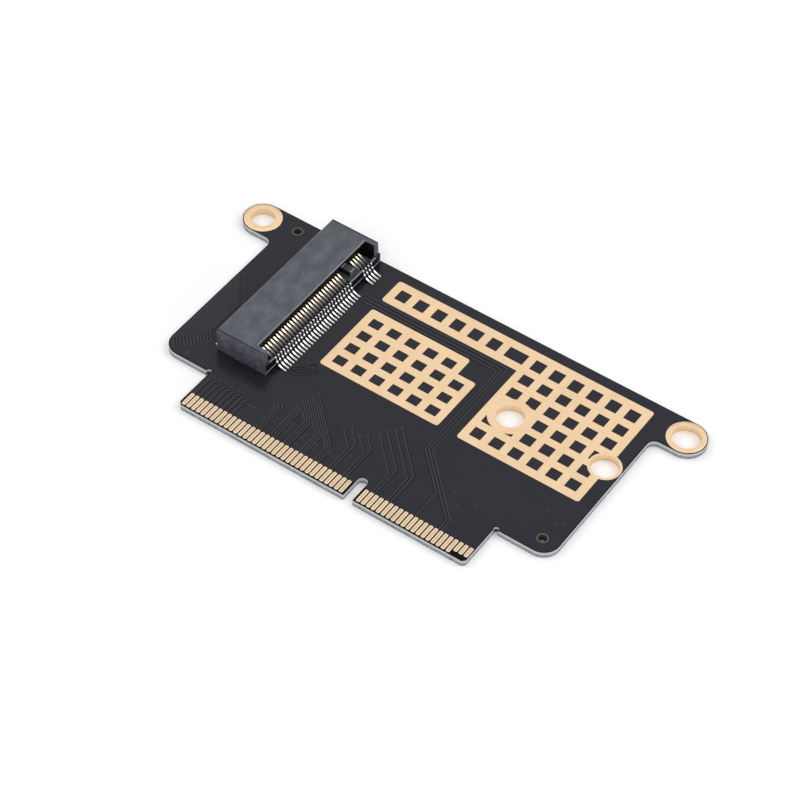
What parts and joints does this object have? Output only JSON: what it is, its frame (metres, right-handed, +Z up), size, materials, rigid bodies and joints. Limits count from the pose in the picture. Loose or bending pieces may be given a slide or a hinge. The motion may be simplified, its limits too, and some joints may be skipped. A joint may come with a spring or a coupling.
{
  "type": "ssd adapter card",
  "caption": "Flat adapter card: a low edge socket for a short M-key drive, screw holes for two drive lengths, two eared screw holes and a keyed row of gold edge fingers.",
  "frame": {"origin": "centre of the near drive screw hole, on the underside of the board", "axes": "+X along the board away from the socket, +Y away from the edge fingers, +Z up out of the component side"},
  "size_m": [0.0612, 0.0307, 0.0039],
  "materials": {
    "black_mask": "semi-gloss black solder mask on glass-fibre laminate",
    "gold_plating": "satin immersion gold on copper",
    "socket_plastic": "fine matte moulded plastic",
    "contact_metal": "bright tin-plated feet and gold-flashed tips",
    "solder": "bright solder"
  },
  "bodies": {
    "root": {"board": "black_mask", "ear_eyelet_left": "gold_plating", "ear_eyelet_right": "gold_plating", "drive_eyelet_near": "gold_plating", "drive_eyelet_far": "gold_plating", "gold_field_large": "gold_plating", "gold_field_small": "gold_plating", "edge_fingers_long": "gold_plating", "edge_fingers_short": "gold_plating", "socket_housing": "socket_plastic", "lower_contacts_main": "contact_metal", "lower_contacts_key": "contact_metal", "upper_contacts_main": "contact_metal", "upper_contacts_key": "contact_metal", "hold_down_near": "contact_metal", "hold_down_far": "contact_metal", "contact_lands_front": "solder", "contact_lands_rear": "solder", "hold_down_lands": "solder", "solder_hold_downs": "solder"}
  },
  "joints": []
}
